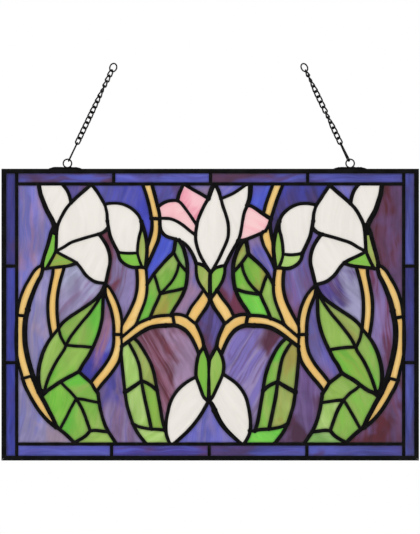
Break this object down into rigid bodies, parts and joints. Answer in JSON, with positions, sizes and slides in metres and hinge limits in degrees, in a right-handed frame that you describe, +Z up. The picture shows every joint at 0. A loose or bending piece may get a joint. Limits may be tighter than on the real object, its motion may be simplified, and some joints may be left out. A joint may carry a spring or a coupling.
{
  "type": "stained glass window",
  "caption": "Hanging leaded stained glass panel with pale tulip-like flowers, green leaves and a blue border in a dark metal frame, hung on chains.",
  "frame": {"origin": "hanging point, on the panel's middle line, level with the centres of the two rings that end the chains", "axes": "+X to the viewer's right along the panel's width, +Y away from the viewer through the panel, +Z up"},
  "size_m": [0.508, 0.0084, 0.4842],
  "materials": {
    "violet_glass": "streaky opalescent, gloss",
    "cobalt_glass": "streaky, gloss",
    "green_glass": "streaky opalescent, gloss",
    "amber_glass": "streaky opalescent, gloss",
    "white_glass": "milky opalescent, gloss",
    "lead": "black patina on solder, satin",
    "frame_metal": "black patina, satin",
    "chain_metal": "blackened steel wire, satin"
  },
  "bodies": {
    "root": {"border_glass": "cobalt_glass", "buds": "white_glass", "chain_left": "chain_metal", "chain_right": "chain_metal", "flower_left": "white_glass", "flower_middle": "white_glass", "flower_right": "white_glass", "frame": "frame_metal", "hanger_left": "chain_metal", "hanger_right": "chain_metal", "leadwork": "lead", "leaf_great_left": "green_glass", "leaf_great_right": "green_glass", "leaf_low_left": "green_glass", "leaf_low_right": "green_glass", "leaf_middle_left": "green_glass", "leaf_middle_right": "green_glass", "leaf_spray_left": "green_glass", "leaf_spray_right": "green_glass", "sky_arch_left": "violet_glass", "sky_arch_right": "violet_glass", "sky_bright_left": "violet_glass", "sky_bright_right": "violet_glass", "sky_corner_left": "violet_glass", "sky_corner_right": "violet_glass", "sky_diamond": "violet_glass", "sky_flank_left": "violet_glass", "sky_flank_right": "violet_glass", "sky_foot": "violet_glass", "sky_leaf_gap_left": "violet_glass", "sky_leaf_gap_right": "violet_glass", "sky_leaf_stem_left": "violet_glass", "sky_leaf_stem_right": "violet_glass", "sky_narrow_left": "violet_glass", "sky_narrow_right": "violet_glass", "sky_over_leaf_left": "violet_glass", "sky_over_leaf_right": "violet_glass", "sky_over_petal_left": "violet_glass", "sky_over_petal_right": "violet_glass", "sky_petal_gap_left": "violet_glass", "sky_petal_gap_right": "violet_glass", "sky_side_left": "violet_glass", "sky_side_right": "violet_glass", "sky_stem_gap_left": "violet_glass", "sky_stem_gap_right": "violet_glass", "sky_tip_left": "violet_glass", "sky_tip_right": "violet_glass", "sky_top_left": "violet_glass", "sky_top_right": "violet_glass", "stem_inner_left": "amber_glass", "stem_inner_right": "amber_glass", "stem_lower_right": "amber_glass", "stem_outer_left": "amber_glass", "stem_outer_right": "amber_glass", "stem_spray_left": "amber_glass", "stem_spray_right": "amber_glass", "stem_upper_left": "amber_glass", "stem_upper_right": "amber_glass"}
  },
  "joints": []
}
